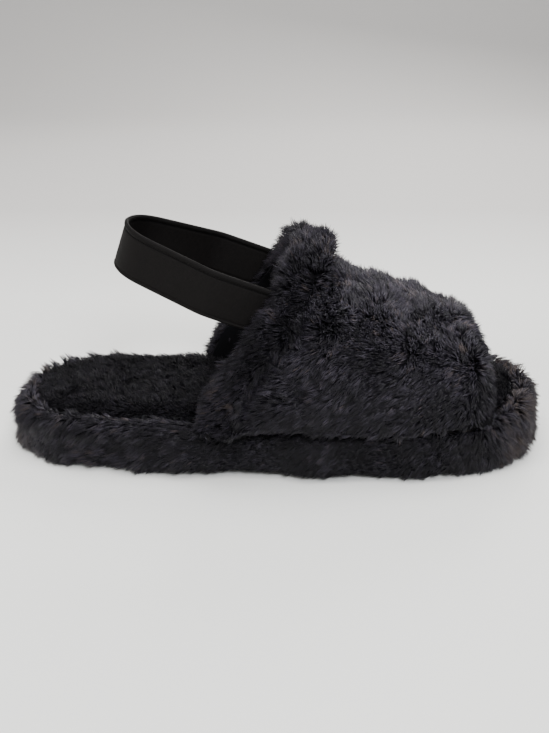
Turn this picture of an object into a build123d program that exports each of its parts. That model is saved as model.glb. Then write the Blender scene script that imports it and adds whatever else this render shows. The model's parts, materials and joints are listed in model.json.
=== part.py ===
"""Right-foot faux-fur slingback slipper: fur-wrapped platform, open-toe fur vamp and elastic heel strap.

Frame: +X towards the toe, +Y towards the inner side of the foot, +Z up, millimetres.
The origin is on the floor under the middle of the sole.
Places along the foot are shares of core_length; heights of the upper start at the top of the foam core.
Soft pieces are closed solids of their outer shape, pile included.
"""

import os
from math import acos, atan2, cos, hypot, radians, sin

from build123d import *

# ---- platform outline, measured on the foam core ----
core_length = 254.0
heel_width = 64.0
waist_width = 70.0
ball_width = 88.0
waist_at = -0.126
instep_at = 0.079
ball_at = 0.26
waist_shift = -5.0  # towards the outer side
instep_shift = -3.0
toe_depth = 54.0  # from the start of the toe's curve to its tip
toe_tip_shift = 8.0  # towards the inner side

# ---- layers under the foot, from the floor up ----
outsole_thick = 4.5
turn_under_thick = 1.5
core_thick = 14.0
board_thick = 1.5
foam_thick = 4.5
sock_thick = 6.0

# ---- fur wrap round the platform ----
rim_pile = 10.5  # how far the pile stands out from the foam core
rim_floor_gap = 1.2
rim_stand = 5.5  # crest of the pile above the insole board
rim_round = 7.5
turn_under_width = 12.0
wrap_seam_at = -0.0945
wrap_seam_gap = 0.4
seat_gap = 4.0  # groove between the wrap and the padded footbed
glue_gap = 0.1  # between curved faces that are glued together

# ---- outsole ----
outsole_inset = -1.0  # how far the outsole stays inside the foam core's outline
outsole_chamfer = 1.0
tread_depth = 1.5
tread_slot_length = 16.0
tread_slot_width = 3.2
tread_pitch_x = 9.5
tread_pitch_y = 20.0
tread_margin = 8.0

# ---- vamp, measured on the outer surface of the pile ----
vamp_pile = 9.0
vamp_foam_thick = 3.0
vamp_lining_thick = 1.5
hem_reach = 3.0  # how far foam and lining stay short of the fur edges
arch_drop = 8.5  # from the top of the foam core down to where the arch's sides stand upright
arch_power = 2.6  # squareness of the arch: 2 is an ellipse
arch_at = [-0.252, -0.118, 0.016, 0.15, 0.283, 0.417, 0.52]
arch_crown = [113.0, 101.0, 87.0, 70.5, 56.0, 41.0, 30.0]
arch_ridge = [0.0, 0.5, 1.0, 2.0, 3.0, 4.0, 5.0]  # ridge's shift towards the inner side
topline_at = [-0.173, -0.146, -0.098, -0.039, 0.008, 0.035, 0.047]
topline_up = [-10.0, 16.0, 37.0, 58.0, 76.0, 94.0, 120.0]
toe_line_at = [0.413, 0.411, 0.398, 0.37, 0.331]
toe_line_up = [-10.0, 20.0, 38.0, 52.0, 120.0]
roll_width = 17.0
roll_stand = 2.5  # how far the rolled edge stands proud of the vamp

# ---- elastic heel strap ----
strap_width = 22.5
strap_thick = 1.6
strap_half = 31.0  # half the loop's width at the vamp, on the middle of the elastic
strap_heel_half = 20.0  # half its width where it rounds the heel
strap_pivot_at = -0.0315
strap_pivot_up = 59.5
strap_reach = 0.2835  # from the pivot to the back of the heel loop, a share of core_length
strap_rise = 20.0  # degrees above the horizontal, as worn
strap_swing = 38.0  # degrees that the arms turn either way
strap_sewn = 28.0  # from the pivot to the sewn end
strap_split = 34.0  # from the pivot to the start of the heel band
knuckle_gap = 0.3
pocket_gap = 0.4
pocket_radius = 26.0

# ---- stitches ----
thread_radius = 0.45
seam_stitches = 5
seam_pitch = 4.0
stitch_length = 3.2
stitch_depth = 1.5
seam_thread_lift = 2.0  # above the insole board
seam_thread_size = 1.0
tack_rows = 4
tack_columns = 3
tack_pitch = 4.2
tack_shift = 1.5
tack_proud = 0.3
patch_thick = 1.2
patch_margin = 2.0

# ---- heights worked out from the layers ----
turn_under_top = outsole_thick + turn_under_thick
core_top = turn_under_top + core_thick
board_top = core_top + board_thick
foam_top = board_top + foam_thick
sock_top = foam_top + sock_thick
rim_top = board_top + rim_stand
arch_foot = core_top - arch_drop

# ---- places worked out from the length ----
wrap_seam_x = wrap_seam_at * core_length
topline = [(at * core_length, core_top + up) for at, up in zip(topline_at, topline_up)]
toe_line = [(at * core_length, core_top + up) for at, up in zip(toe_line_at, toe_line_up)]
arch_x = [at * core_length for at in arch_at]
loop_reach = strap_reach * core_length


def outline_points(outset):
    """Points of the platform outline moved out by outset, from the heel round by the outer side."""
    heel = heel_width / 2
    ball = ball_width / 2
    waist = waist_width / 2
    heel_x = heel - core_length / 2
    heel_bend = radians(45)
    toe_x = core_length / 2 - toe_depth
    waist_x, instep_x, ball_x = (at * core_length for at in (waist_at, instep_at, ball_at))
    instep = waist + 0.62 * (ball - waist)
    outer_bends = [radians(34), radians(64)]
    inner_bends = [radians(62), radians(32)]
    shape = [
        (-core_length / 2, 0),
        (heel_x - heel * cos(heel_bend), -heel * sin(heel_bend)),
        (heel_x, -heel),
        (waist_x, waist_shift - waist),
        (instep_x, instep_shift - instep),
        (ball_x, -ball),
        *[(toe_x + toe_depth * sin(b), toe_tip_shift * sin(b) ** 2 - ball * cos(b)) for b in outer_bends],
        (core_length / 2, toe_tip_shift),
        *[(toe_x + toe_depth * sin(b), toe_tip_shift * sin(b) ** 2 + ball * cos(b)) for b in inner_bends],
        (ball_x, ball),
        (instep_x, instep_shift + instep),
        (waist_x, waist_shift + waist),
        (heel_x, heel),
        (heel_x - heel * cos(heel_bend), heel * sin(heel_bend)),
    ]
    moved = []
    for i, (x, y) in enumerate(shape):
        before = shape[i - 1]
        after = shape[(i + 1) % len(shape)]
        run = (after[0] - before[0], after[1] - before[1])
        length = hypot(*run)
        moved.append((x + outset * run[1] / length, y - outset * run[0] / length))
    return moved


def outline_edge(outset):
    """The platform outline as one closed curve."""
    with BuildLine() as line:
        Spline(*outline_points(outset), periodic=True)
    return line.edges()[0]


def outline_reach(x, side, outset):
    """How far the outline lies from the centre line at x, on the outer (-1) or inner (+1) side."""
    ray = Axis((x, 0, 0), (0, side, 0))
    hits = outline_edge(outset).find_intersection_points(ray)
    return max(abs(p.Y) for p in hits if p.Y * side > 0)


def slab(low, high, outset):
    """A prism of the platform outline between two heights."""
    with BuildPart() as made:
        with BuildSketch(Plane.XY.offset(low)):
            with BuildLine():
                Spline(*outline_points(outset), periodic=True)
            make_face()
        extrude(amount=high - low)
    return made.part


def arch_points(station, inset):
    """Points of the arch across the foot at one station, its sides and crown moved in by inset."""
    widest_x = min(arch_x[station], core_length / 2 - 0.4 * toe_depth)
    rise = core_top + arch_crown[station] - inset - arch_foot
    outer = outline_reach(widest_x, -1, rim_pile) - inset
    inner = outline_reach(widest_x, 1, rim_pile) - inset
    points = []
    for turn in (0, 16, 34, 52, 71, 90, 109, 128, 146, 164, 180):
        along, up = cos(radians(turn)), sin(radians(turn)) ** (2 / arch_power)
        side = abs(along) ** (2 / arch_power)
        y = -outer * side if along > 0 else inner * side
        points.append((y + arch_ridge[station] * up, arch_foot + rise * up))
    return points


def arch(inset):
    """The space under the vamp's outer surface moved in by inset, before it is trimmed."""
    with BuildPart() as made:
        for station, x in enumerate(arch_x):
            points = arch_points(station, inset)
            with BuildSketch(Plane.YZ.offset(x)):
                with BuildLine():
                    Spline(*points)
                    Line(points[-1], points[0])
                make_face()
        loft()
    return made.part


def side_cut(back, front, low):
    """A prism across the slipper between the topline and the toe line, both moved in, above low."""
    behind = [(x + back, z) for x, z in topline]
    ahead = [(x - front, z) for x, z in toe_line]
    with BuildPart() as made:
        with BuildSketch(Plane.XZ):
            with BuildLine():
                Spline(*behind)
                Line(behind[-1], ahead[-1])
                Spline(*ahead)
                Line(ahead[0], behind[0])
            make_face()
        extrude(amount=ball_width, both=True)
        split(bisect_by=Plane.XY.offset(low), keep=Keep.TOP)
    return made.part


def save(part, name):
    """Label a finished piece and write its STEP file."""
    part.label = name
    export_step(part, f"parts/{name}.step")


def make_sole():
    """Outsole, filler, foam core, board, footbed foam and the fur sock that the foot stands on."""
    base = slab(0, outsole_thick, outsole_inset)
    with BuildPart() as outsole:
        add(base)
        chamfer(outsole.edges().group_by(Axis.Z)[0], outsole_chamfer)
        columns = int(core_length / tread_pitch_x)
        rows = int(ball_width / tread_pitch_y) + 1
        with BuildSketch():
            for column in range(columns):
                x = (column - (columns - 1) / 2) * tread_pitch_x
                shift = tread_pitch_y / 2 if column % 2 else 0
                with Locations((x, shift)):
                    with GridLocations(1, tread_pitch_y, 1, rows):
                        SlotOverall(tread_slot_length, tread_slot_width, rotation=90)
            with BuildLine():
                Spline(*outline_points(-tread_margin), periodic=True)
            make_face(mode=Mode.INTERSECT)
        extrude(amount=tread_depth, mode=Mode.SUBTRACT)
    save(outsole.part, "outsole")

    save(slab(outsole_thick, turn_under_top, -turn_under_width - glue_gap), "bottom_filler")
    save(slab(turn_under_top, core_top, -glue_gap), "platform_core")
    save(slab(core_top, board_top, -glue_gap), "insole_board")
    save(slab(board_top, foam_top, -seat_gap), "footbed_foam")

    top_layer = slab(foam_top, sock_top, -seat_gap)
    with BuildPart() as sock:
        add(top_layer)
        fillet(sock.edges().group_by(Axis.Z)[-1], sock_thick / 2)
    save(sock.part, "fur_footbed_sock")


def make_wraps():
    """The two fur strips round the platform's edge, turned under the core and joined at both sides."""
    block = slab(rim_floor_gap, rim_top, rim_pile)
    under = slab(0, outsole_thick, outsole_inset + glue_gap)
    filler = slab(outsole_thick, turn_under_top, -turn_under_width)
    inside = slab(turn_under_top, rim_top, 0)
    with BuildPart() as stitches:
        for side in (-1, 1):
            y = side * (outline_reach(wrap_seam_x, side, 0) + stitch_depth)
            with BuildSketch(Plane.YZ.offset(wrap_seam_x)):
                with Locations((y, (rim_floor_gap + rim_top) / 2)):
                    with GridLocations(1, seam_pitch, 1, seam_stitches):
                        Circle(thread_radius)
            extrude(amount=stitch_length / 2, both=True)
    save(stitches.part, "wrap_seam_stitches")

    with BuildPart() as ring:
        add(block)
        for cut in (under, filler, inside, stitches.part):
            add(cut, mode=Mode.SUBTRACT)
    for name, keep, shift in (("rear", Keep.BOTTOM, -1), ("front", Keep.TOP, 1)):
        with BuildPart() as wrap:
            add(ring.part)
            split(bisect_by=Plane.YZ.offset(wrap_seam_x + shift * wrap_seam_gap / 2), keep=keep)
            curves = wrap.edges().filter_by(GeomType.BSPLINE)
            fillet(curves.filter_by(lambda e: inside.distance_to(e.center()) > rim_pile / 2), rim_round)
        save(wrap.part, f"{name}_platform_wrap")


def make_seam_thread():
    """The thread in the groove that joins wrap, upper and sock all round the platform."""
    low = board_top + seam_thread_lift
    outer = slab(low, low + seam_thread_size, -glue_gap)
    inner = slab(low, low + seam_thread_size, -glue_gap - seam_thread_size)
    with BuildPart() as thread:
        add(outer)
        add(inner, mode=Mode.SUBTRACT)
    save(thread.part, "platform_seam_thread")


def side_sketch_plane():
    """Plane through the strap's pivot: x along the strap towards the heel, y across its width."""
    rise = radians(strap_rise)
    pivot = (strap_pivot_at * core_length, 0, core_top + strap_pivot_up)
    return Plane(origin=pivot, x_dir=(-cos(rise), 0, sin(rise)), z_dir=(0, 1, 0))


def both_sides(flat, near, far):
    """A flat shape seen from the side, made solid between two distances from the centre line."""
    with BuildPart() as made:
        for side in (-1, 1):
            with BuildSketch(side_plane.offset(side * near)):
                add(flat)
            extrude(amount=side * (far - near))
    return made.part


def strap_loop():
    """The whole elastic as worn: straight to the vamp's edge, then drawn in round the back of the heel."""
    centre = loop_reach - strap_heel_half
    run = pocket_radius - centre
    bearing = atan2(strap_half, run) - acos(strap_heel_half / hypot(run, strap_half))
    touch = (centre + strap_heel_half * cos(bearing), strap_heel_half * sin(bearing))
    with BuildPart() as made:
        with BuildSketch(loop_plane.offset(-strap_width / 2)):
            with BuildLine():
                Polyline((-strap_sewn, strap_half), (pocket_radius, strap_half), touch)
                ThreePointArc(touch, (loop_reach, 0), (touch[0], -touch[1]))
                Polyline((touch[0], -touch[1]), (pocket_radius, -strap_half), (-strap_sewn, -strap_half))
            trace(line_width=strap_thick)
        extrude(amount=strap_width)
    return made.part


def make_strap():
    """The elastic in three pieces: sewn ends, arms that swing and the heel band that stretches away."""
    loop = strap_loop()
    outside = strap_half + strap_thick
    half = strap_width / 2

    with BuildSketch() as sewn_side:
        with Locations((-strap_sewn / 2, 0)):
            Rectangle(strap_sewn, strap_width)
        Circle(half / cos(radians(strap_swing / 2)) + knuckle_gap, mode=Mode.SUBTRACT)
    with BuildSketch() as arm_side:
        with Locations((strap_split / 2, 0)):
            Rectangle(strap_split, strap_width)
        Circle(half)
    with BuildSketch() as heel_side:
        with Locations((loop_reach, 0)):
            Rectangle(2 * (loop_reach - strap_split - knuckle_gap), strap_width)

    with BuildPart() as sewn:
        add(loop)
        add(both_sides(sewn_side.sketch, 0, outside), mode=Mode.INTERSECT)
        add(tacks, mode=Mode.SUBTRACT)
    save(sewn.part, "strap_sewn_ends")
    with BuildPart() as arms:
        add(loop)
        add(both_sides(arm_side.sketch, 0, outside), mode=Mode.INTERSECT)
    save(arms.part, "strap_arms")
    with BuildPart() as heel:
        add(loop)
        add(both_sides(heel_side.sketch, 0, outside), mode=Mode.INTERSECT)
    save(heel.part, "strap_heel_band")


def make_anchors():
    """Reinforcing patches behind the sewn ends."""
    with BuildPart() as patches:
        add(both_sides(patch_side, patch_near, strap_half - strap_thick / 2))
        add(tacks, mode=Mode.SUBTRACT)
    save(patches.part, "strap_anchor_patches")
    save(tacks, "strap_tack_stitches")


def make_pockets():
    """The space that the upper leaves for the strap's ends, their patches and the turning arms."""
    near = strap_half - strap_thick / 2
    far = strap_half + strap_thick / 2
    clear = strap_width / 2 + knuckle_gap
    swing = radians(strap_swing)
    start = (-clear * sin(swing), clear * cos(swing))
    end = (start[0] + 2 * pocket_radius * cos(swing), start[1] + 2 * pocket_radius * sin(swing))
    with BuildSketch() as turning:
        Polygon(start, end, (end[0], -end[1]), (start[0], -start[1]), align=None)
        Circle(pocket_radius, mode=Mode.INTERSECT)
        Circle(clear)
    with BuildSketch() as sewn:
        with Locations((-strap_sewn / 2, 0)):
            Rectangle(strap_sewn + 2 * glue_gap, strap_width + 2 * glue_gap)
    with BuildSketch() as patch:
        add(offset(patch_side, glue_gap))
    tack_end = tack_proud + glue_gap
    return [
        both_sides(turning.sketch, near - pocket_gap, far + pocket_gap),
        both_sides(sewn.sketch, near, far + tack_end),
        both_sides(patch.sketch, patch_near - tack_end, near),
    ]


def make_upper():
    """Fur shell, foam, lining and the rolled fur edge round the foot opening."""
    under_pile = arch(vamp_pile)
    under_foam = arch(vamp_pile + vamp_foam_thick)
    hollow = arch(vamp_pile + vamp_foam_thick + vamp_lining_thick)
    padded = side_cut(hem_reach, hem_reach, rim_top)
    lasted = side_cut(hem_reach, hem_reach, board_top)
    footbed = slab(board_top, sock_top, -seat_gap + glue_gap)
    around = slab(board_top, rim_top, 2 * rim_pile) - slab(board_top, rim_top, -seam_thread_size - 2 * glue_gap)
    pockets = make_pockets()

    with BuildPart() as foam:
        add(under_pile)
        add(under_foam, mode=Mode.SUBTRACT)
        add(padded, mode=Mode.INTERSECT)
        for cut in (footbed, *pockets):
            add(cut, mode=Mode.SUBTRACT)
    save(foam.part, "vamp_foam")
    with BuildPart() as lining:
        add(under_foam)
        add(hollow, mode=Mode.SUBTRACT)
        add(lasted, mode=Mode.INTERSECT)
        for cut in (footbed, around, *pockets):
            add(cut, mode=Mode.SUBTRACT)
    save(lining.part, "vamp_lining")
    with BuildPart() as fur:
        add(arch(0))
        add(side_cut(roll_width, 0, rim_top), mode=Mode.INTERSECT)
        for cut in (hollow, footbed, foam.part, lining.part, *pockets):
            add(cut, mode=Mode.SUBTRACT)
    save(fur.part, "vamp_fur")
    front_part = side_cut(roll_width, 0, 0)
    with BuildPart() as roll:
        add(arch(-roll_stand))
        add(side_cut(0, 0, rim_top), mode=Mode.INTERSECT)
        for cut in (front_part, hollow, footbed, foam.part, lining.part, *pockets):
            add(cut, mode=Mode.SUBTRACT)
    save(roll.part, "topline_fur_roll")


os.makedirs("parts", exist_ok=True)
side_plane = side_sketch_plane()
loop_plane = Plane(origin=side_plane.origin, x_dir=side_plane.x_dir, z_dir=side_plane.y_dir)
patch_near = strap_half - strap_thick / 2 - patch_thick
sewn_middle = -(strap_sewn + strap_width / 2 + knuckle_gap) / 2
with BuildSketch() as patch_outline:
    with Locations((sewn_middle, 0)):
        RectangleRounded(2 * (strap_sewn + sewn_middle + patch_margin), strap_width, patch_margin)
patch_side = patch_outline.sketch
with BuildSketch() as tack_pattern:
    with Locations((sewn_middle - tack_shift, 0)):
        with GridLocations(tack_pitch, tack_pitch, tack_columns, tack_rows):
            Circle(thread_radius)
tacks = both_sides(tack_pattern.sketch, patch_near - tack_proud, strap_half + strap_thick / 2 + tack_proud)

make_sole()
make_wraps()
make_seam_thread()
make_strap()
make_anchors()
make_upper()
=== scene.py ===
import json
from math import cos, pi, radians, sin

import bpy
import numpy as np
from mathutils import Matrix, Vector, kdtree, noise


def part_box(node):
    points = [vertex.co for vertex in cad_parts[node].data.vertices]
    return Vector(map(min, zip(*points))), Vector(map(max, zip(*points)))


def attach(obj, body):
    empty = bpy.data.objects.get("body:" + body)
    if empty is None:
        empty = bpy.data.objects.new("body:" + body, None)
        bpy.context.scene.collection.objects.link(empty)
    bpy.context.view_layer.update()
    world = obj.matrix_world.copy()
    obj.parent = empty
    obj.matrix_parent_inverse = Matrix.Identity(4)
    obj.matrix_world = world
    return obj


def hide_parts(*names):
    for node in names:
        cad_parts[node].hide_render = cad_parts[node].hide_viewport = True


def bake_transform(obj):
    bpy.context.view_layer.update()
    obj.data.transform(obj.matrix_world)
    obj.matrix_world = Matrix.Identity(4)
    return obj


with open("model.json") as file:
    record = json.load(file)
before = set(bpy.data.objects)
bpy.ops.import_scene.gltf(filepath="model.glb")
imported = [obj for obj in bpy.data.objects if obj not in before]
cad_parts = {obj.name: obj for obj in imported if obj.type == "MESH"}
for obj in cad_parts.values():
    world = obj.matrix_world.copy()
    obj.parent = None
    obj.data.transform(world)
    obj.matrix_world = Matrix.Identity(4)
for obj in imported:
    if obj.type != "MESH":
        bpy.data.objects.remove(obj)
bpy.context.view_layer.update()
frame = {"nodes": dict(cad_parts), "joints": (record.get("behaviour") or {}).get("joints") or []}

mm = 0.001
nodes = frame["nodes"]


def clearSelection():
    if bpy.context.mode != "OBJECT":
        bpy.ops.object.mode_set(mode="OBJECT")
    bpy.ops.object.select_all(action="DESELECT")


def pick(piece):
    clearSelection()
    piece.select_set(True)
    bpy.context.view_layer.objects.active = piece


def applyModifier(piece, modifier):
    pick(piece)
    bpy.ops.object.modifier_apply(modifier=modifier.name)


def readPoints(mesh):
    found = np.empty(len(mesh.vertices) * 3, np.float32)
    mesh.vertices.foreach_get("co", found)
    return found.reshape(-1, 3).astype(float)


def readNormals(mesh):
    found = np.empty(len(mesh.vertices) * 3, np.float32)
    mesh.vertices.foreach_get("normal", found)
    return found.reshape(-1, 3).astype(float)


def writePoints(mesh, points):
    mesh.vertices.foreach_set("co", points.astype(np.float32).ravel())
    mesh.update()


def unit(vectors):
    return vectors / np.maximum(np.linalg.norm(vectors, axis=-1, keepdims=True), 1e-9)


def softNoise(points, scale, shift=0.0):
    return np.array([noise.noise(Vector(p) / scale + Vector((shift, 0, 0))) for p in points])


def dress(piece, material):
    piece.data.materials.clear()
    piece.data.materials.append(material)


def newMaterial(name, settings):
    material = bpy.data.materials.new(name)
    material.use_nodes = True
    shader = material.node_tree.nodes["Principled BSDF"]
    for socket, value in settings.items():
        shader.inputs[socket].default_value = value
    return material, material.node_tree, shader


def addNode(tree, kind, **settings):
    node = tree.nodes.new(kind)
    for name, value in settings.items():
        setattr(node, name, value)
    return node


def colourRamp(tree, stops):
    ramp = addNode(tree, "ShaderNodeValToRGB")
    ramp.color_ramp.elements.remove(ramp.color_ramp.elements[1])
    first = ramp.color_ramp.elements[0]
    first.position, first.color = stops[0][0], (*stops[0][1], 1)
    for position, colour in stops[1:]:
        ramp.color_ramp.elements.new(position).color = (*colour, 1)
    return ramp


furLook = {
    # The dark roots carry painted shade deep in the pile; the lighter tips are the fibre's own
    # colour.
    "roots": (0.0022, 0.0019, 0.0026),
    "middles": (0.0066, 0.0056, 0.0078),
    "coolTips": (0.033, 0.029, 0.040),
    "brownTips": (0.092, 0.070, 0.062),
    "roughness": 0.36,
    "tints": 48,
    "rooting": 0.4 * mm,
    "lowest": 0.4 * mm,
    "tuftSpread": 0.20,
    "strandSpread": 0.16,
    "patchSpread": 0.30,
    "patch": 16 * mm,
    "middleTint": 0.36,
}


# Each strand's tint runs across its map, and root to tip runs up it.
def furMaterial(name, brown=0.5, bright=1.0, gloss=0.3):
    material, tree, shader = newMaterial(name, {
        "Roughness": furLook["roughness"],
        "Specular IOR Level": gloss,
        "Sheen Weight": 0.02,
        "Sheen Roughness": 0.35,
        "Sheen Tint": (0.75, 0.75, 0.85, 1),
    })
    place = addNode(tree, "ShaderNodeUVMap", uv_map="OFBake")
    parts = addNode(tree, "ShaderNodeSeparateXYZ")
    tree.links.new(place.outputs["UV"], parts.inputs[0])
    tint = colourRamp(tree, [
        (0.0, [c * 0.18 * bright for c in furLook["coolTips"]]),
        (0.45, [c * 0.75 * bright for c in furLook["coolTips"]]),
        (1 - brown * 0.5, [c * 2.3 * bright for c in furLook["coolTips"]]),
        (1.0, [c * bright for c in furLook["brownTips"]]),
    ])
    # Darker towards the root: painted shade deep in the pile.
    body = colourRamp(tree, [
        (0.0, furLook["roots"]),
        (0.35, [c * bright for c in furLook["middles"]]),
        (1.0, [c * bright for c in furLook["middles"]]),
    ])
    reach = colourRamp(tree, [(0.30, (0, 0, 0)), (0.95, (1, 1, 1))])
    blend = addNode(tree, "ShaderNodeMix", data_type="RGBA")
    tree.links.new(parts.outputs["X"], tint.inputs[0])
    tree.links.new(parts.outputs["Y"], body.inputs[0])
    tree.links.new(parts.outputs["Y"], reach.inputs[0])
    tree.links.new(reach.outputs["Color"], blend.inputs["Factor"])
    tree.links.new(body.outputs["Color"], blend.inputs["A"])
    tree.links.new(tint.outputs["Color"], blend.inputs["B"])
    tree.links.new(blend.outputs["Result"], shader.inputs["Base Color"])
    return material


# Cloth, felt, foam and rubber: a base colour broken up by noise, with a bump at the right scale.
def grainMaterial(name, colour, roughness, grain, depth, spread=0.35, sheen=0.0, specular=0.3):
    material, tree, shader = newMaterial(name, {
        "Roughness": roughness,
        "Specular IOR Level": specular,
        "Sheen Weight": sheen,
    })
    place = addNode(tree, "ShaderNodeTexCoord")
    fine = addNode(tree, "ShaderNodeTexNoise")
    fine.inputs["Scale"].default_value = 1 / grain
    fine.inputs["Detail"].default_value = 4
    broad = addNode(tree, "ShaderNodeTexNoise")
    broad.inputs["Scale"].default_value = 1 / (grain * 22)
    for pattern in (fine, broad):
        tree.links.new(place.outputs["Object"], pattern.inputs["Vector"])
    both = addNode(tree, "ShaderNodeMath", operation="MULTIPLY_ADD")
    both.inputs[1].default_value = 0.5
    tree.links.new(fine.outputs["Fac"], both.inputs[0])
    half = addNode(tree, "ShaderNodeMath", operation="MULTIPLY")
    half.inputs[1].default_value = 0.5
    tree.links.new(broad.outputs["Fac"], half.inputs[0])
    tree.links.new(half.outputs[0], both.inputs[2])
    ramp = colourRamp(tree, [
        (0.30, [c * (1 - spread) for c in colour]),
        (0.70, [c * (1 + spread) for c in colour]),
    ])
    tree.links.new(both.outputs[0], ramp.inputs[0])
    tree.links.new(ramp.outputs["Color"], shader.inputs["Base Color"])
    bump = addNode(tree, "ShaderNodeBump")
    bump.inputs["Strength"].default_value = 0.6
    bump.inputs["Distance"].default_value = depth
    tree.links.new(fine.outputs["Fac"], bump.inputs["Height"])
    tree.links.new(bump.outputs["Normal"], shader.inputs["Normal"])
    return material


# A soft skin starts as a copy of its CAD solids. It is drawn in by the length of its pile and then
# filled.
def copyOfNodes(name, nodeNames):
    clearSelection()
    copies = []
    for nodeName in nodeNames:
        copy = nodes[nodeName].copy()
        copy.data = nodes[nodeName].data.copy()
        for key in list(copy.keys()):
            del copy[key]
        copy.parent = None
        bpy.context.scene.collection.objects.link(copy)
        copies.append(copy)
    for copy in copies:
        copy.select_set(True)
    bpy.context.view_layer.objects.active = copies[0]
    if len(copies) > 1:
        bpy.ops.object.join()
    piece = bpy.context.view_layer.objects.active
    piece.name = name
    piece.data.name = name
    bpy.ops.object.mode_set(mode="EDIT")
    bpy.ops.mesh.select_all(action="SELECT")
    bpy.ops.mesh.remove_doubles(threshold=0.02 * mm)
    bpy.ops.object.mode_set(mode="OBJECT")
    return piece


def voxelRemesh(piece, size):
    modifier = piece.modifiers.new("remesh", "REMESH")
    modifier.mode = "VOXEL"
    modifier.voxel_size = size
    applyModifier(piece, modifier)


def smoothSkin(piece, rounds):
    modifier = piece.modifiers.new("smooth", "SMOOTH")
    modifier.iterations = rounds
    modifier.factor = 0.5
    applyModifier(piece, modifier)


def drawIn(piece, depthAt, rounds=4):
    # A few short steps, with the mesh relaxed between them, keep it from folding.
    for _ in range(rounds):
        points, normals = readPoints(piece.data), readNormals(piece.data)
        writePoints(piece.data, points - normals * depthAt(points, normals)[:, None] / rounds)
        smoothSkin(piece, 1)


def fillWithAir(piece, pressure, cap, frames=20):
    before = readPoints(piece.data)
    cloth = piece.modifiers.new("cloth", "CLOTH")
    cloth.settings.quality = 4
    cloth.settings.use_pressure = True
    cloth.settings.uniform_pressure_force = pressure
    cloth.settings.effector_weights.gravity = 0
    cloth.settings.tension_stiffness = 12
    cloth.settings.compression_stiffness = 12
    cloth.settings.bending_stiffness = 0.6
    cloth.collision_settings.use_collision = False
    cloth.point_cache.frame_start = 1
    cloth.point_cache.frame_end = frames
    scene = bpy.context.scene
    for number in range(1, frames + 1):
        scene.frame_set(number)
    applyModifier(piece, cloth)
    scene.frame_set(1)
    moved = readPoints(piece.data) - before
    length = np.linalg.norm(moved, axis=1, keepdims=True)
    writePoints(piece.data, before + moved * np.minimum(1, cap / np.maximum(length, 1e-9)))


def swell(piece, height, scale, shift):
    points, normals = readPoints(piece.data), readNormals(piece.data)
    amount = softNoise(points, scale, shift) * height
    writePoints(piece.data, points + normals * amount[:, None])


def finishSkin(piece):
    pick(piece)
    bpy.ops.object.shade_smooth()


# Fur: each strand grows from a place on a skin, and bends towards the middle strand of its tuft.
def sampleSkin(piece, count, chance, rng):
    mesh = piece.data
    mesh.calc_loop_triangles()
    corners = np.empty(len(mesh.loop_triangles) * 3, np.int32)
    mesh.loop_triangles.foreach_get("vertices", corners)
    corners = corners.reshape(-1, 3)
    points, normals = readPoints(mesh), readNormals(mesh)
    a, b, c = (points[corners[:, i]] for i in range(3))
    area = np.linalg.norm(np.cross(b - a, c - a), axis=1) / 2
    middle, facing = (a + b + c) / 3, unit(normals[corners].sum(1))
    weight = area * np.clip(chance(middle, facing), 0, None)
    chosen = rng.choice(len(corners), count, p=weight / weight.sum())
    share = np.sort(rng.random((count, 2)), axis=1)
    share = np.column_stack([share[:, 0], share[:, 1] - share[:, 0], 1 - share[:, 1]])
    roots = (points[corners[chosen]] * share[:, :, None]).sum(1)
    facing = unit((normals[corners[chosen]] * share[:, :, None]).sum(1))
    return roots, facing


def gatherTufts(roots, middles, tips, perTuft, pull, rng):
    leaders = rng.choice(len(roots), max(1, len(roots) // perTuft), replace=False)
    tree = kdtree.KDTree(len(leaders))
    for i, leader in enumerate(leaders):
        tree.insert(Vector(roots[leader]), i)
    tree.balance()
    mine = leaders[[tree.find(Vector(root))[1] for root in roots]]
    offset = roots - roots[mine]
    middles = middles + (middles[mine] + offset * 0.75 - middles) * pull * 0.6
    tips = tips + (tips[mine] + offset * 0.30 - tips) * pull
    return middles, tips, mine


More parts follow.
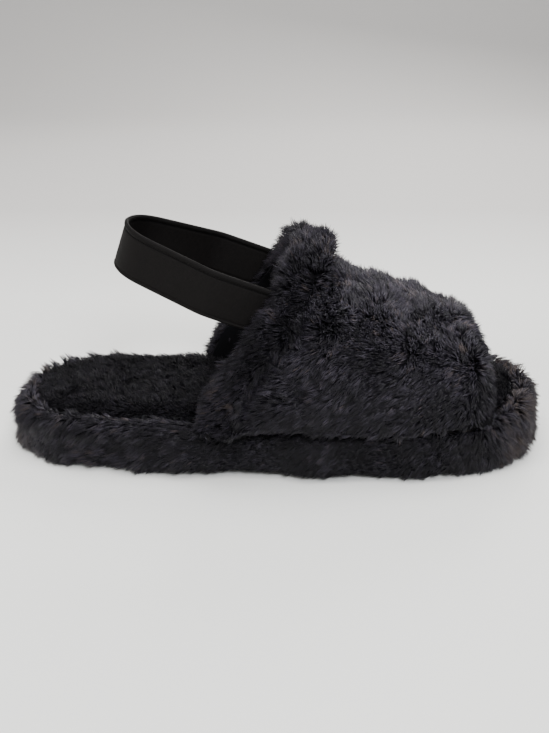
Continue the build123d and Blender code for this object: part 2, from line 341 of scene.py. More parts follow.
# A strand is a three-sided stalk that ends in a point. Its map holds one of a few tint columns.
def strandMesh(name, roots, middles, tips, radius, tint):
    count, tints = len(roots), furLook["tints"]
    along = unit(middles - roots)
    helper = np.where(np.abs(along[:, 2:3]) < 0.9, [[0.0, 0.0, 1.0]], [[1.0, 0.0, 0.0]])
    sideA = unit(np.cross(helper, along))
    sideB = np.cross(along, sideA)
    turns = [2 * pi * k / 3 for k in range(3)]
    ring = [cos(t) * sideA + sin(t) * sideB for t in turns]
    points = np.empty((count, 7, 3))
    for k in range(3):
        points[:, k] = roots + ring[k] * radius[:, None]
        points[:, 3 + k] = middles + ring[k] * radius[:, None] * 0.85
    points[:, 6] = tips
    faces = [(0, 1, 4, 3), (1, 2, 5, 4), (2, 0, 3, 5), (3, 4, 6), (4, 5, 6), (5, 3, 6), (2, 1, 0)]
    third = 1 / 3
    places = []
    for k in range(3):
        left, right = k * third, (k + 1) * third
        places += [(left, 0.03), (right, 0.03), (right, 0.5), (left, 0.5)]
    for k in range(3):
        places += [(k * third, 0.5), ((k + 1) * third, 0.5), ((k + 0.5) * third, 1.0)]
    places += [(0, 0), (1, 0), (0.5, 0.03)]
    corners = np.array([i for face in faces for i in face])
    sizes = np.array([len(face) for face in faces])
    mesh = bpy.data.meshes.new(name)
    mesh.vertices.add(count * 7)
    mesh.vertices.foreach_set("co", points.astype(np.float32).ravel())
    loops = (corners[None, :] + 7 * np.arange(count)[:, None]).ravel()
    mesh.loops.add(len(loops))
    mesh.loops.foreach_set("vertex_index", loops.astype(np.int32))
    totals = np.tile(sizes, count)
    mesh.polygons.add(len(totals))
    mesh.polygons.foreach_set("loop_start", (np.cumsum(totals) - totals).astype(np.int32))
    mesh.polygons.foreach_set("loop_total", totals.astype(np.int32))
    mesh.update(calc_edges=True)
    layer = mesh.uv_layers.new(name="OFBake")
    places = np.array(places)
    column = np.clip((tint * tints).astype(int), 0, tints - 1)
    across = (column[:, None] + places[None, :, 0]) / tints
    up = np.broadcast_to(places[None, :, 1], across.shape)
    layer.uv.foreach_set("vector", np.stack([across, up], -1).astype(np.float32).ravel())
    mesh.shade_smooth()
    mesh.validate()
    piece = bpy.data.objects.new(name, mesh)
    bpy.context.scene.collection.objects.link(piece)
    return piece


def noStand(roots, facing):
    return np.zeros(len(roots))


def growFur(name, skin, settings, chance, comb, lengthAt, brownAt, material, seed,
            standAt=noStand):
    rng = np.random.default_rng(seed)
    total, parts = settings["strands"], settings["parts"]
    roots, facing = sampleSkin(skin, total, chance, rng)
    flow = comb(roots, facing)
    flow = flow - facing * (flow * facing).sum(1, keepdims=True)
    wobble = rng.normal(size=(total, 3)) * settings["mess"]
    lift = settings["lift"] + standAt(roots, facing)[:, None]
    start = unit(facing * lift + flow * settings["lean"] + wobble)
    end = unit(start + flow * settings["bend"] + np.array([0, 0, -settings["droop"]]) + wobble * 0.5)
    length = lengthAt(roots, facing) * (1 - settings["uneven"] * rng.random(total) ** 1.5)
    roots = roots - facing * furLook["rooting"]
    middles = roots + start * length[:, None] * 0.5
    tips = middles + end * length[:, None] * 0.5
    middles, tips, mine = gatherTufts(roots, middles, tips, settings["perTuft"], settings["pull"],
                                      rng)
    tips[:, 2] = np.maximum(tips[:, 2], furLook["lowest"])
    middles[:, 2] = np.maximum(middles[:, 2], furLook["lowest"])
    tuftTint = rng.normal(size=total)[mine] * furLook["tuftSpread"]
    strandTint = rng.normal(size=total) * furLook["strandSpread"]
    tint = furLook["middleTint"] + brownAt(roots) + tuftTint + strandTint
    tint += softNoise(roots, furLook["patch"], 7.0) * furLook["patchSpread"]
    radius = settings["width"] / 2 * (0.75 + 0.5 * rng.random(total))
    order = roots[:, 0].argsort()
    for i, part in enumerate(np.array_split(order, parts)):
        label = f"{name}{i + 1}" if parts > 1 else name
        piece = strandMesh(label, roots[part], middles[part], tips[part], radius[part], tint[part])
        dress(piece, material)
        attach(piece, "slipper")
    print(f"fur {name}: {total} strands in {parts} pieces", flush=True)


view = {"place": (-0.002, -0.360, 0.212), "tilt": 64.0, "lens": 37.87}
studio = {
    # The board's painted shade colour, and the stretch of floor over which it fades in.
    "floor": (0.80, 0.80, 0.775), "shade": (0.60, 0.585, 0.57), "shadeFrom": (0.20, 0.46),
    "size": 4.0, "wall": 2.2, "sweep": 0.9, "sky": (0.84, 0.85, 0.87), "skyStrength": 0.42,
    # Each lamp has its name, place, target, size, power and colour.
    "lamps": [
        ("overhead", (0.0, 0.0, 1.5), (0, 0.05, 0), 1.5, 33, (1.0, 0.99, 0.97)),
        ("front", (0.35, -0.95, 0.95), (0, 0, 0.05), 0.35, 17, (0.95, 0.97, 1.0)),
        ("side", (-1.0, -0.5, 0.7), (0, 0, 0.05), 0.4, 6, (1.0, 0.98, 0.95)),
        ("back", (0.3, 1.1, 0.8), (0, 0, 0.05), 0.6, 9, (1.0, 0.98, 0.96)),
    ],
}


def makeCamera():
    camera = bpy.data.cameras.new("camera")
    camera.lens, camera.sensor_width = view["lens"], 36
    holder = bpy.data.objects.new("camera", camera)
    holder.location = view["place"]
    holder.rotation_euler = (radians(view["tilt"]), 0, 0)
    bpy.context.scene.collection.objects.link(holder)
    bpy.context.scene.camera = holder


def addLamp(name, place, target, size, power, colour):
    lamp = bpy.data.lights.new(name, "AREA")
    lamp.size, lamp.energy, lamp.color = size, power, colour
    holder = bpy.data.objects.new(name, lamp)
    holder.location = place
    holder.rotation_euler = (Vector(target) - Vector(place)).to_track_quat("-Z", "Y").to_euler()
    bpy.context.scene.collection.objects.link(holder)


def boardMaterial():
    # The pale board is painted darker behind the slipper: a painted shade over the far floor and the
    # wall.
    material, tree, shader = newMaterial("paleBoard", {"Roughness": 0.55, "Specular IOR Level": 0.3})
    place = addNode(tree, "ShaderNodeTexCoord")
    parts = addNode(tree, "ShaderNodeSeparateXYZ")
    back = addNode(tree, "ShaderNodeMapRange")
    back.inputs["From Min"].default_value, back.inputs["From Max"].default_value = studio["shadeFrom"]
    shade = colourRamp(tree, [(0.0, studio["floor"]), (1.0, studio["shade"])])
    tree.links.new(place.outputs["Object"], parts.inputs[0])
    tree.links.new(parts.outputs["Y"], back.inputs["Value"])
    tree.links.new(back.outputs["Result"], shade.inputs[0])
    tree.links.new(shade.outputs["Color"], shader.inputs["Base Color"])
    return material


def makeStudio():
    # The floor's far edge is drawn up into a wall, and the corner between them is rounded off.
    clearSelection()
    bpy.ops.mesh.primitive_plane_add(size=studio["size"], location=(0, 0, 0))
    floor = bpy.context.object
    floor.name = "floor"
    farY = 0.45 * studio["size"]
    bpy.ops.object.mode_set(mode="EDIT")
    bpy.ops.mesh.select_all(action="DESELECT")
    bpy.ops.object.mode_set(mode="OBJECT")
    for edge in floor.data.edges:
        edge.select = all(floor.data.vertices[v].co.y > farY for v in edge.vertices)
    bpy.ops.object.mode_set(mode="EDIT")
    bpy.ops.mesh.select_mode(type="EDGE")
    bpy.ops.mesh.extrude_region_move(TRANSFORM_OT_translate={"value": (0, 0, studio["wall"])})
    bpy.ops.object.mode_set(mode="OBJECT")
    for edge in floor.data.edges:
        ends = [floor.data.vertices[v].co for v in edge.vertices]
        edge.select = all(e.y > farY and e.z < 0.1 for e in ends)
    bpy.ops.object.mode_set(mode="EDIT")
    bpy.ops.mesh.bevel(offset=studio["sweep"], segments=16)
    bpy.ops.object.mode_set(mode="OBJECT")
    bpy.ops.object.shade_smooth()
    floor.data.materials.append(boardMaterial())
    world = bpy.data.worlds.new("room")
    bpy.context.scene.world = world
    world.use_nodes = True
    back = world.node_tree.nodes["Background"]
    back.inputs["Color"].default_value = (*studio["sky"], 1)
    back.inputs["Strength"].default_value = studio["skyStrength"]
    for lamp in studio["lamps"]:
        addLamp(*lamp)


soleMiddle = (-92 * mm, 76 * mm)


def outwards(points):
    # Away from the sole's long middle line.
    middle = np.clip(points[:, 0], *soleMiddle)
    away = points - np.column_stack([middle, np.zeros(len(points)), points[:, 2]])
    return unit(away)


def rampUp(values, low, high):
    t = np.clip((values - low) / (high - low), 0, 1)
    return t * t * (3 - 2 * t)


def wander(points, scale, shift):
    return np.column_stack([softNoise(points, scale, shift + i) for i in range(3)])


platformSpec = {
    "voxel": 3.2 * mm, "pile": 5.2 * mm, "pressure": 4.0, "cap": 3 * mm,
    "swell": 1.4 * mm, "swellScale": 30 * mm, "lowest": 1 * mm, "length": 9.5 * mm,
    "upperStarts": (-46 * mm, -32 * mm), "upperEnds": (94 * mm, 108 * mm),
    "sideStarts": (6 * mm, 14 * mm), "rimStarts": (16 * mm, 20 * mm), "longToe": (100 * mm, 125 * mm),
    "brownToe": (94 * mm, 120 * mm), "brownHeel": (-132 * mm, -108 * mm),
    # Where the vamp covers the rim, the pile is darker: painted shade under the overhang.
    "toeBrown": 0.56, "heelBrown": 0.46, "paintedShadeUnderVamp": 0.22, "crestStand": 1.1,
    "comb": {"heelward": (-1, 0, -0.15), "down": (0, 0, -0.75), "toe": (70 * mm, 115 * mm),
             "heel": (-125 * mm, -85 * mm), "scale": 14 * mm, "wander": 0.7},
    "fur": {"strands": 68000, "parts": 4, "lift": 0.50, "lean": 0.95, "bend": 0.45, "droop": 0.30,
            "mess": 0.13, "uneven": 0.45, "perTuft": 16, "pull": 0.52, "width": 0.52 * mm},
}


def combPlatform(points, facing):
    # The pile lies towards the heel along the sides, and outwards and down at both ends.
    comb = platformSpec["comb"]
    away, heelward, down = outwards(points), np.array(comb["heelward"]), np.array(comb["down"])
    toe = rampUp(points[:, 0], *comb["toe"])[:, None]
    heel = (1 - rampUp(points[:, 0], *comb["heel"]))[:, None]
    lie = heelward * (1 - toe) * (1 - 0.8 * heel) + (away + down) * toe + (away * 0.3 + down) * heel
    return unit(lie) + wander(points, comb["scale"], 1.0) * comb["wander"]


def underVamp(points):
    # 1 where the upper covers the platform's edge, 0 at the heel and the toe.
    x = points[:, 0]
    return rampUp(x, *platformSpec["upperStarts"]) * (1 - rampUp(x, *platformSpec["upperEnds"]))


def partAt(whole, name, seamX, keepRear):
    pick(whole)
    bpy.ops.object.duplicate()
    piece = bpy.context.object
    piece.name = piece.data.name = name
    bpy.ops.object.mode_set(mode="EDIT")
    bpy.ops.mesh.select_all(action="SELECT")
    bpy.ops.mesh.bisect(plane_co=(seamX, 0, 0), plane_no=(1, 0, 0), use_fill=True,
                        clear_outer=keepRear, clear_inner=not keepRear)
    bpy.ops.object.mode_set(mode="OBJECT")
    return piece


def makePlatform(material, backing):
    whole = copyOfNodes("platformSkin", ["rear_platform_wrap", "front_platform_wrap"])
    voxelRemesh(whole, platformSpec["voxel"])

    def depth(points, normals):
        # The turned-under flange and the inner wall have no pile to draw in.
        outer = rampUp((outwards(points) * normals).sum(1), 0.0, 0.6)
        outer = outer * (0.45 + 0.55 * rampUp(points[:, 2], *platformSpec["sideStarts"]))
        top = rampUp(normals[:, 2], 0.3, 0.8) * (0.30 + 0.55 * underVamp(points))
        under = rampUp(-normals[:, 2], 0.5, 0.9)
        return platformSpec["pile"] * np.clip(np.maximum(outer, top) * (1 - 0.8 * under), 0, 1)

    drawIn(whole, depth)
    fillWithAir(whole, platformSpec["pressure"], platformSpec["cap"])
    swell(whole, platformSpec["swell"], platformSpec["swellScale"], 0.5)
    points = readPoints(whole.data)
    points[:, 2] = np.maximum(points[:, 2], platformSpec["lowest"])
    writePoints(whole.data, points)

    def chance(points, facing):
        side = (outwards(points) * facing).sum(1)
        top = rampUp(facing[:, 2], 0.1, 0.5) * (1 - 0.5 * underVamp(points))
        inner = 0.7 * rampUp(-side, 0.2, 0.6) * rampUp(points[:, 2], *platformSpec["rimStarts"])
        inner = inner * (1 - underVamp(points))
        shown = np.maximum(np.maximum(rampUp(side, -0.15, 0.25), top), inner)
        return shown * np.where(facing[:, 2] < -0.75, 0.22, 1.0)

    def length(points, facing):
        under = rampUp(-facing[:, 2], 0.4, 0.9)
        inner = rampUp(-(outwards(points) * facing).sum(1), 0.1, 0.5)
        toe = rampUp(points[:, 0], *platformSpec["longToe"])
        base = platformSpec["length"] * (1 - 0.30 * underVamp(points)) * (1 + 0.18 * toe)
        base = base * (1 - 0.6 * under) * (1 - 0.35 * inner)
        return base * (1 + 0.25 * softNoise(points, 20 * mm, 13.0))

    def brown(points):
        # Browner tips at the toe and heel; darker where the vamp covers the rim: painted shade under
        # the overhang.
        toe = rampUp(points[:, 0], *platformSpec["brownToe"])
        heel = 1 - rampUp(points[:, 0], *platformSpec["brownHeel"])
        ends = platformSpec["toeBrown"] * toe + platformSpec["heelBrown"] * heel
        return ends - platformSpec["paintedShadeUnderVamp"] * underVamp(points)

    def stand(points, facing):
        # The open rim's crest stands up beside the footbed.
        return platformSpec["crestStand"] * rampUp(facing[:, 2], 0.35, 0.8) * (1 - underVamp(points))

    growFur("platformPile", whole, platformSpec["fur"], chance, combPlatform, length, brown, material,
            21, stand)
    seamX = (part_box("rear_platform_wrap")[1][0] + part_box("front_platform_wrap")[0][0]) / 2
    for name, nodeName, keepRear in (("rearWrap", "rear_platform_wrap", True),
                                     ("frontWrap", "front_platform_wrap", False)):
        skin = partAt(whole, name, seamX, keepRear)
        finishSkin(skin)
        dress(skin, backing)
        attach(skin, "slipper")
        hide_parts(nodeName)
    bpy.data.objects.remove(whole)


sockSpec = {
    "voxel": 2.6 * mm, "pile": 2.8 * mm, "dish": 2.4 * mm, "dishHalf": 34 * mm, "overlap": 0.9 * mm,
    "pressure": 1.5, "cap": 1.2 * mm, "swell": 0.9 * mm, "swellScale": 26 * mm, "length": 5.0 * mm,
    # The footbed pile's tint is shifted darker: painted shade in the valley inside the slipper.
    "brown": -0.1, "hiddenStarts": (-10 * mm, 20 * mm), "hiddenEnds": (60 * mm, 80 * mm),
    "comb": {"heelward": (-0.7, 0, 0), "scale": 10 * mm, "wander": 1.2},
    "fur": {"strands": 32000, "parts": 2, "lift": 0.8, "lean": 0.6, "bend": 0.4, "droop": 0.08,
            "mess": 0.22, "uneven": 0.4, "perTuft": 14, "pull": 0.45, "width": 0.50 * mm},
}


def combSock(points, facing):
    comb = sockSpec["comb"]
    level = np.array([1, 1, 0])
    return np.array(comb["heelward"]) + wander(points, comb["scale"], 11.0) * level * comb["wander"]


def makeSock(material, backing):
    # The fur sock wraps over the edge of the padded footbed, and the foot's weight has dished it.
    skin = copyOfNodes("footbedSock", ["fur_footbed_sock", "footbed_foam"])
    voxelRemesh(skin, sockSpec["voxel"])

    def depth(points, normals):
        upward = rampUp(normals[:, 2], 0.3, 0.8)
        middle = np.clip(1 - (points[:, 1] / sockSpec["dishHalf"]) ** 2, 0, 1)
        side = 1 - rampUp(np.abs(normals[:, 2]), 0.3, 0.8)
        return upward * (sockSpec["pile"] + sockSpec["dish"] * middle) - sockSpec["overlap"] * side

    drawIn(skin, depth)
    fillWithAir(skin, sockSpec["pressure"], sockSpec["cap"])
    swell(skin, sockSpec["swell"], sockSpec["swellScale"], 3.0)
    finishSkin(skin)
    dress(skin, backing)
    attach(skin, "slipper")
    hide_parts("fur_footbed_sock")

    def chance(points, facing):
        x = points[:, 0]
        hidden = rampUp(x, *sockSpec["hiddenStarts"]) * (1 - rampUp(x, *sockSpec["hiddenEnds"]))
        return rampUp(facing[:, 2], -0.4, -0.1) * (1 - 0.55 * hidden)

    # The pile's tint is shifted darker: painted shade in the valley.
    growFur("footbedPile", skin, sockSpec["fur"], chance, combSock,
            lambda points, facing: np.full(len(points), sockSpec["length"]),
            lambda points: np.full(len(points), sockSpec["brown"]), material, 31)


vampSpec = {
    "voxel": 2.8 * mm, "pile": 5.4 * mm, "pressure": 4.0, "cap": 2.5 * mm,
    "swell": 2.6 * mm, "swellScale": 27 * mm, "length": 8.8 * mm,
    "hem": (27 * mm, 42 * mm), "hemDrop": 4.0 * mm, "hemOut": 1.6 * mm, "bulgeAt": 34 * mm,
    "bulgeHalf": 9 * mm, "backShift": 5 * mm, "backEnds": (20 * mm, 34 * mm),
    # The pile is darker towards the hem: painted shade low on the vamp.
    "furHem": (28 * mm, 38 * mm), "brown": 0.06, "paintedLowShade": 0.20, "paintedShadeEnds": (34 * mm, 52 * mm),
    # Each crease has its start and end, seen from the side, and its depth, in millimetres.
    "creases": [((20, 57), (11, 46), 2.6), ((46, 59), (43, 50), 2.2), ((30, 100), (39, 82), 2.4)],
    "creaseWidth": 5 * mm,
    "comb": {"heelward": (-1, 0, -0.22), "upper": (-0.4125, 0, 0.15), "aside": (0, 0.1875, 0),
             "front": (0.9, 0, -0.7), "hemDown": (0, 0, -0.9),
             "low": (42 * mm, 66 * mm), "ahead": (84 * mm, 104 * mm), "hem": (25 * mm, 36 * mm),
             "scale": 17 * mm, "wander": 0.8},
    "fur": {"strands": 62000, "parts": 4, "lift": 0.50, "lean": 0.95, "bend": 0.45, "droop": 0.14,
            "mess": 0.13, "uneven": 0.45, "perTuft": 16, "pull": 0.52, "width": 0.50 * mm},
}
collarSpec = {
    "voxel": 2.8 * mm, "pile": 4.2 * mm, "pressure": 3.0, "cap": 2.5 * mm,
    "swell": 1.6 * mm, "swellScale": 22 * mm, "length": 8.4 * mm, "frontShift": 4 * mm,
    "top": (84 * mm, 100 * mm), "knob": 5.0 * mm, "knobAt": 26 * mm, "knobHalf": 13 * mm,
    "topBrown": 0.10, "hemBrown": 0.16, "brownEnds": (40 * mm, 60 * mm),
    "comb": {"heelward": (-1, 0, -0.12), "topLie": (-0.35, 0, 0.3), "top": (80 * mm, 100 * mm),
             "scale": 12 * mm, "wander": 0.6},
    "fur": {"strands": 19800, "parts": 1, "lift": 0.62, "lean": 0.85, "bend": 0.4, "droop": 0.12,
            "mess": 0.17, "uneven": 0.45, "perTuft": 15, "pull": 0.5, "width": 0.52 * mm},
}


def combVamp(points, facing):
    # Towards the heel low down, up over the instep higher up, and forwards over the toe's opening.
    comb = vampSpec["comb"]
    x, z = points[:, 0], points[:, 2]
    low = (1 - rampUp(z, *comb["low"]))[:, None]
    ahead = rampUp(x, *comb["ahead"])[:, None]
    hem = (1 - rampUp(z, *comb["hem"]))[:, None]
    upper = np.array(comb["upper"]) + np.sign(points[:, 1])[:, None] * np.array(comb["aside"])
    lie = np.array(comb["heelward"]) * low + upper * (1 - low) + np.array(comb["hemDown"]) * hem
    lie = lie * (1 - ahead) + np.array(comb["front"]) * ahead
    return lie + wander(points, comb["scale"], 4.0) * comb["wander"]


def combCollar(points, facing):
    comb = collarSpec["comb"]
    top = rampUp(points[:, 2], *comb["top"])[:, None]
    lie = np.array(comb["heelward"]) * (1 - top) + np.array(comb["topLie"]) * top
    return lie + wander(points, comb["scale"], 8.0) * comb["wander"]


tunnel = {"height": 95 * mm, "fall": 0.45, "low": 28 * mm, "high": 60 * mm, "aside": 2 * mm}


def fromTunnel(points):
    # Away from the line that runs through the middle of the foot's tunnel.
    x = points[:, 0]
    height = np.clip(0.55 * (tunnel["height"] - tunnel["fall"] * x), tunnel["low"], tunnel["high"])
    middle = np.column_stack([x, np.full(len(points), tunnel["aside"]), height])
    return unit(points - middle)


def rollHem(skin):
    # The hem rolls down and out over the platform.
    points = readPoints(skin.data)
    hem = 1 - rampUp(points[:, 2], *vampSpec["hem"])
    side = np.sign(points[:, 1]) * rampUp(np.abs(points[:, 1]), 20 * mm, 34 * mm)
    bulge = np.exp(-((points[:, 2] - vampSpec["bulgeAt"]) / vampSpec["bulgeHalf"]) ** 2)
    points[:, 2] -= vampSpec["hemDrop"] * hem
    points[:, 1] += vampSpec["hemOut"] * bulge * side
    writePoints(skin.data, points)


def creaseVamp(skin):
    # Shallow creases break the sides up.
    points, normals = readPoints(skin.data), readNormals(skin.data)
    flat = points[:, [0, 2]]
    for start, end, depth in vampSpec["creases"]:
        a, b = np.array(start) * mm, np.array(end) * mm
        t = np.clip(((flat - a) @ (b - a)) / ((b - a) @ (b - a)), 0, 1)[:, None]
        away = np.linalg.norm(flat - (a + (b - a) * t), axis=1)
        points -= normals * (depth * mm * np.exp(-(away / vampSpec["creaseWidth"]) ** 2))[:, None]
    writePoints(skin.data, points)


def makeVamp(material, backing):
    skin = copyOfNodes("vamp", ["vamp_fur"])
    voxelRemesh(skin, vampSpec["voxel"])

    def depth(points, normals):
        outer = rampUp((fromTunnel(points) * normals).sum(1), -0.3, 0.4)
        front = rampUp(normals[:, 0], 0.3, 0.8)
        return vampSpec["pile"] * np.maximum(outer, front * 0.7)

    drawIn(skin, depth)
    fillWithAir(skin, vampSpec["pressure"], vampSpec["cap"])
    swell(skin, vampSpec["swell"], vampSpec["swellScale"], 1.7)
    rollHem(skin)
    creaseVamp(skin)
    # The back edge reaches under the rolled topline.
    points = readPoints(skin.data)
    backward = rampUp(-readNormals(skin.data)[:, 0], 0.05, 0.5)
    backward = backward * (1 - rampUp(points[:, 0], *vampSpec["backEnds"]))
    points[:, 0] -= vampSpec["backShift"] * backward
    writePoints(skin.data, points)
    finishSkin(skin)
    dress(skin, backing)
    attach(skin, "slipper")
    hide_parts("vamp_fur")

    def chance(points, facing):
        outer = rampUp((fromTunnel(points) * facing).sum(1), -0.25, 0.2)
        front = rampUp(facing[:, 0], 0.2, 0.6)
        return np.maximum(outer, front)

    def length(points, facing):
        hem = 1 - rampUp(points[:, 2], *vampSpec["furHem"])
        return vampSpec["length"] * (1 + 0.25 * softNoise(points, 18 * mm, 14.0)) * (1 - 0.15 * hem)

    def brown(points):
        # A small tint shift over the whole vamp, darker towards the hem: painted shade low down.
        low = 1 - rampUp(points[:, 2], *vampSpec["paintedShadeEnds"])
        return vampSpec["brown"] - vampSpec["paintedLowShade"] * low

    growFur("vampPile", skin, vampSpec["fur"], chance, combVamp, length, brown, material,
            41)


def makeCollar(material, backing):
    skin = copyOfNodes("toplineRoll", ["topline_fur_roll"])
    voxelRemesh(skin, collarSpec["voxel"])

    def depth(points, normals):
        outer = rampUp((fromTunnel(points) * normals).sum(1), -0.4, 0.3)
        back = rampUp(-normals[:, 0], 0.2, 0.7)
        return collarSpec["pile"] * np.maximum(outer * (1 - back), 0.85 * back)

    drawIn(skin, depth)
    fillWithAir(skin, collarSpec["pressure"], collarSpec["cap"])
    swell(skin, collarSpec["swell"], collarSpec["swellScale"], 2.1)
    rollHem(skin)
    points = readPoints(skin.data)
    high = rampUp(points[:, 2], *collarSpec["top"])
    forward = rampUp(readNormals(skin.data)[:, 0], 0.05, 0.5)
    points[:, 0] += collarSpec["frontShift"] * forward * (0.75 + 0.6 * high)
    knob = np.exp(-((points[:, 0] - collarSpec["knobAt"]) / collarSpec["knobHalf"]) ** 2) * high
    points[:, 2] += collarSpec["knob"] * knob
    writePoints(skin.data, points)
    finishSkin(skin)
    dress(skin, backing)
    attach(skin, "slipper")
    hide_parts("topline_fur_roll")

    def chance(points, facing):
        outer = rampUp((fromTunnel(points) * facing).sum(1), -0.5, 0.1)
        back = rampUp(-facing[:, 0], 0.0, 0.5)
        return np.maximum(outer, back)

    def length(points, facing):
        return collarSpec["length"] * (1 + 0.3 * softNoise(points, 14 * mm, 15.0))

    def brown(points):
        high = rampUp(points[:, 2], *collarSpec["top"])
        low = 1 - rampUp(points[:, 2], *collarSpec["brownEnds"])
        return collarSpec["topBrown"] * high + collarSpec["hemBrown"] * low

    growFur("toplinePile", skin, collarSpec["fur"], chance, combCollar, length, brown, material,
            51)


# The heel strap is one woven elastic, swept along its path as two pieces of the same section.
strapSpec = {
    "width": 22.5 * mm, "web": 1.15 * mm, "topCord": 2.0 * mm, "lowCord": 1.5 * mm,
    "groove": 0.55 * mm, "half": 31.0 * mm, "heelHalf": 20.0 * mm, "sewn": -28.0 * mm,
    "bend": 26.0 * mm, "reach": 72.0 * mm, "split": 6.0 * mm, "turnIn": 10.0 * mm,
    "bandStart": 44.0 * mm, "step": 1.6 * mm,
    # dark is the painted shade laid in the groove beside the top cord.
    "rib": 0.62 * mm, "brown": (0.0030, 0.0023, 0.0022), "dark": (0.0009, 0.0007, 0.0007),
}


def strapFrame():
    swing, stretch = frame["joints"]
    pivot, along = Vector(swing["pos_m"]), Vector(stretch["axis"])
    upright = Vector(swing["axis"]).cross(along)
    if upright.z < 0:
        upright.negate()
    return pivot, along, upright


def strapPath():
    # Half of the loop seen along its width, from the sewn end to the middle of the heel.
    s = strapSpec
    centre = s["reach"] - s["heelHalf"]
    run = s["bend"] - centre
    bearing = np.arctan2(s["half"], run) - np.arccos(s["heelHalf"] / np.hypot(run, s["half"]))
    corners = [(s["sewn"], s["half"]), (s["bend"], s["half"])]
    corners += [(centre + s["heelHalf"] * cos(b), s["heelHalf"] * sin(b))
                for b in np.linspace(bearing, 0, 26)]
    corners = np.array(corners)
    lengths = np.concatenate([[0], np.cumsum(np.linalg.norm(np.diff(corners, axis=0), axis=1))])
    places = np.linspace(0, lengths[-1], int(lengths[-1] / s["step"]))
    path = np.column_stack([np.interp(places, lengths, corners[:, i]) for i in (0, 1)])
    for _ in range(6):
        path[1:-1] = (path[:-2] + 2 * path[1:-1] + path[2:]) / 4
    return path


def strapSection():
    # Across the width: a web with a cord along each edge, and a groove beside each cord.
    s = strapSpec
    half = s["width"] / 2
    low, top, web = s["lowCord"], s["topCord"], s["web"]
    rows = [(-half, 0.35 * low), (-half + 0.35 * mm, 0.85 * low), (-half + 0.8 * mm, low),
            (-half + 1.3 * mm, 0.8 * low), (-half + 1.6 * mm, web - s["groove"]),
            (-half + 2.0 * mm, web)]
    rows += [(v, web) for v in np.linspace(-half + 3 * mm, half - 4.2 * mm, 9)]
    rows += [(half - 3.1 * mm, web), (half - 2.8 * mm, web - s["groove"]), (half - 2.5 * mm, web),
             (half - 1.9 * mm, 0.95 * top), (half - 1.2 * mm, top), (half - 0.5 * mm, 0.85 * top),
             (half, 0.35 * top)]
    front = [(v, t / 2) for v, t in rows]
    return front + [(v, -t / 2) for v, t in reversed(rows)]


def sweepStrap(name, runs, material):
    # Each run is a row of (along, aside) points. The section is extruded from point to point.
    pivot, along, upright = strapFrame()
    section = strapSection()
    aside = along.cross(upright)
    points, faces, places = [], [], []
    for run in runs:
        tangent = unit(np.gradient(run, axis=0))
        distance = np.concatenate([[0], np.cumsum(np.linalg.norm(np.diff(run, axis=0), axis=1))])
        first, count = len(points), len(section)
        for (a, b), (ta, tb), d in zip(run, tangent, distance):
            for v, t in section:
                points.append(pivot + along * (a - tb * t) + aside * (b + ta * t) + upright * v)
                places.append((d, v))
        for i in range(len(run) - 1):
            for j in range(count):
                k = (j + 1) % count
                faces.append([first + i * count + j, first + i * count + k,
                              first + (i + 1) * count + k, first + (i + 1) * count + j])
        faces.append([first + j for j in reversed(range(count))])
        faces.append([first + (len(run) - 1) * count + j for j in range(count)])
    mesh = bpy.data.meshes.new(name)
    mesh.from_pydata(points, [], faces)
    layer = mesh.uv_layers.new(name="weave")
    for loop in mesh.loops:
        layer.uv[loop.index].vector = places[loop.vertex_index]
    piece = bpy.data.objects.new(name, mesh)
    bpy.context.scene.collection.objects.link(piece)
    pick(piece)
    bpy.ops.object.mode_set(mode="EDIT")
    bpy.ops.mesh.select_all(action="SELECT")
    bpy.ops.mesh.normals_make_consistent(inside=False)
    bpy.ops.object.mode_set(mode="OBJECT")
    bpy.ops.object.shade_smooth_by_angle(angle=radians(50))
    dress(piece, material)
    return piece


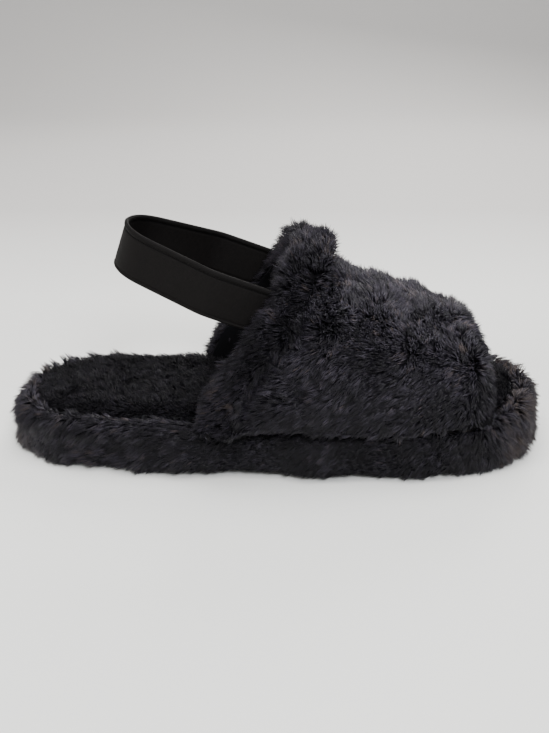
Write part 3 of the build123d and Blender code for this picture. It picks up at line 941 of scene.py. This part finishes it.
def elasticMaterial():
    # Fine ribs run along the band, crossed by the weft. The groove beside the top cord is painted
    # darker: a painted shade in the groove.
    s = strapSpec
    material, tree, shader = newMaterial("wovenElastic", {
        "Roughness": 0.66, "Specular IOR Level": 0.10, "Sheen Weight": 0.01, "Sheen Roughness": 0.4,
        "Sheen Tint": (0.9, 0.8, 0.75, 1),
    })
    place = addNode(tree, "ShaderNodeUVMap", uv_map="weave")
    parts = addNode(tree, "ShaderNodeSeparateXYZ")
    tree.links.new(place.outputs["UV"], parts.inputs[0])

    def wave(source, pitch):
        scaled = addNode(tree, "ShaderNodeMath", operation="MULTIPLY")
        scaled.inputs[1].default_value = 2 * pi / pitch
        tree.links.new(source, scaled.inputs[0])
        waved = addNode(tree, "ShaderNodeMath", operation="SINE")
        tree.links.new(scaled.outputs[0], waved.inputs[0])
        return waved.outputs[0]

    ribs = wave(parts.outputs["Y"], s["rib"])
    weft = wave(parts.outputs["X"], s["rib"] * 0.8)
    both = addNode(tree, "ShaderNodeMath", operation="MULTIPLY")
    tree.links.new(ribs, both.inputs[0])
    tree.links.new(weft, both.inputs[1])
    height = addNode(tree, "ShaderNodeMath", operation="MULTIPLY_ADD")
    height.inputs[1].default_value = 0.5
    tree.links.new(both.outputs[0], height.inputs[0])
    tree.links.new(ribs, height.inputs[2])
    bump = addNode(tree, "ShaderNodeBump")
    bump.inputs["Strength"].default_value = 0.5
    bump.inputs["Distance"].default_value = 0.12 * mm
    tree.links.new(height.outputs[0], bump.inputs["Height"])
    tree.links.new(bump.outputs["Normal"], shader.inputs["Normal"])
    specks = addNode(tree, "ShaderNodeTexNoise")
    specks.inputs["Scale"].default_value = 1 / (0.9 * mm)
    specks.inputs["Detail"].default_value = 5
    coords = addNode(tree, "ShaderNodeTexCoord")
    tree.links.new(coords.outputs["Object"], specks.inputs["Vector"])
    tone = addNode(tree, "ShaderNodeMath", operation="MULTIPLY_ADD")
    tone.inputs[1].default_value = 0.14
    tree.links.new(height.outputs[0], tone.inputs[0])
    tree.links.new(specks.outputs["Fac"], tone.inputs[2])
    face = colourRamp(tree, [
        (0.25, [c * 0.62 for c in s["brown"]]),
        (0.8, [c * 1.5 for c in s["brown"]]),
    ])
    tree.links.new(tone.outputs[0], face.inputs[0])
    # The groove beside the top cord gets painted shade, and the top cord is half as dark.
    edge = addNode(tree, "ShaderNodeMath", operation="DIVIDE")
    edge.inputs[1].default_value = s["width"] / 2
    tree.links.new(parts.outputs["Y"], edge.inputs[0])
    edges = colourRamp(tree, [
        (0.0, (0, 0, 0)), (0.70, (0, 0, 0)), (0.745, (1, 1, 1)), (0.765, (1, 1, 1)),
        (0.80, (0.5, 0.5, 0.5)),
    ])
    tree.links.new(edge.outputs[0], edges.inputs[0])
    blend = addNode(tree, "ShaderNodeMix", data_type="RGBA")
    tree.links.new(edges.outputs["Color"], blend.inputs["Factor"])
    tree.links.new(face.outputs["Color"], blend.inputs["A"])
    blend.inputs["B"].default_value = (*s["dark"], 1)
    tree.links.new(blend.outputs["Result"], shader.inputs["Base Color"])
    return material


def makeStrap():
    s = strapSpec
    elastic = elasticMaterial()
    half = strapPath()
    pivot, along, _ = strapFrame()
    cut = int(np.argmax(half[:, 0] >= s["split"]))
    arm, rest = half[:cut + 1], half[cut:]
    flipped = np.array([1, -1])
    sides = sweepStrap("strapSides", [arm, arm * flipped], elastic)
    whole = np.concatenate([rest, (rest * flipped)[::-1][1:]])
    band = sweepStrap("heelBand", [whole], elastic)
    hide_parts("strap_arms", "strap_sewn_ends")
    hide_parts("strap_heel_band")
    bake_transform(sides)
    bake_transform(band)


makeCamera()
makeStudio()
print("camera, light and floor", flush=True)

# The fur copies differ in brightness. The footbed's copy is painted much darker, as shade in the
# valley, and the platform's darker than the vamp's, as shade low on the rim.
furDark = furMaterial("vampFur", brown=0.45, bright=1.12, gloss=0.30)
furCollar = furMaterial("toplineFur", brown=0.45, bright=0.62, gloss=0.15)
furPlatform = furMaterial("platformFur", brown=0.6, bright=0.82, gloss=0.24)
furSock = furMaterial("footbedFur", brown=0.3, bright=0.28, gloss=0.10)
furBacking = grainMaterial("furBacking", (0.0025, 0.0022, 0.0028), 0.9, 0.7 * mm, 0.25 * mm,
                           specular=0.08)

makePlatform(furPlatform, furBacking)
print("platform wraps", flush=True)
makeSock(furSock, furBacking)
print("footbed", flush=True)
makeVamp(furDark, furBacking)
makeCollar(furCollar, furBacking)
print("vamp and topline", flush=True)
makeStrap()
print("heel strap", flush=True)

stitchThread = grainMaterial("stitchThread", (0.006, 0.006, 0.007), 0.8, 0.2 * mm, 0.05 * mm,
                             specular=0.1)
plain = {
    "outsole": grainMaterial("soleRubber", (0.040, 0.036, 0.036), 0.62, 0.35 * mm, 0.06 * mm),
    "bottom_filler": grainMaterial("fillerFelt", (0.25, 0.24, 0.23), 0.95, 0.5 * mm, 0.2 * mm),
    "platform_core": grainMaterial("coreFoam", (0.10, 0.10, 0.105), 0.8, 0.6 * mm, 0.1 * mm),
    # The board and the foams under the fur are dark, partly as their own black colour, partly as
    # painted shade where small gaps show through.
    "insole_board": grainMaterial("fibreBoard", (0.060, 0.052, 0.045), 0.85, 0.4 * mm, 0.1 * mm),
    "footbed_foam": grainMaterial("softFoam", (0.030, 0.030, 0.033), 0.9, 0.6 * mm, 0.2 * mm),
    "vamp_foam": grainMaterial("darkFoam", (0.008, 0.008, 0.009), 0.9, 0.6 * mm, 0.2 * mm,
                               specular=0.1),
    "vamp_lining": grainMaterial("knitLining", (0.0045, 0.0045, 0.0055), 0.9, 0.45 * mm, 0.15 * mm,
                                 specular=0.1),
    "strap_anchor_patches": grainMaterial("patchCloth", (0.006, 0.006, 0.007), 0.9, 0.4 * mm,
                                          0.1 * mm, specular=0.1),
    "wrap_seam_stitches": stitchThread,
    "strap_tack_stitches": stitchThread,
    "platform_seam_thread": stitchThread,
}
for nodeName, material in plain.items():
    nodes[nodeName].data.materials.clear()
    nodes[nodeName].data.materials.append(material)
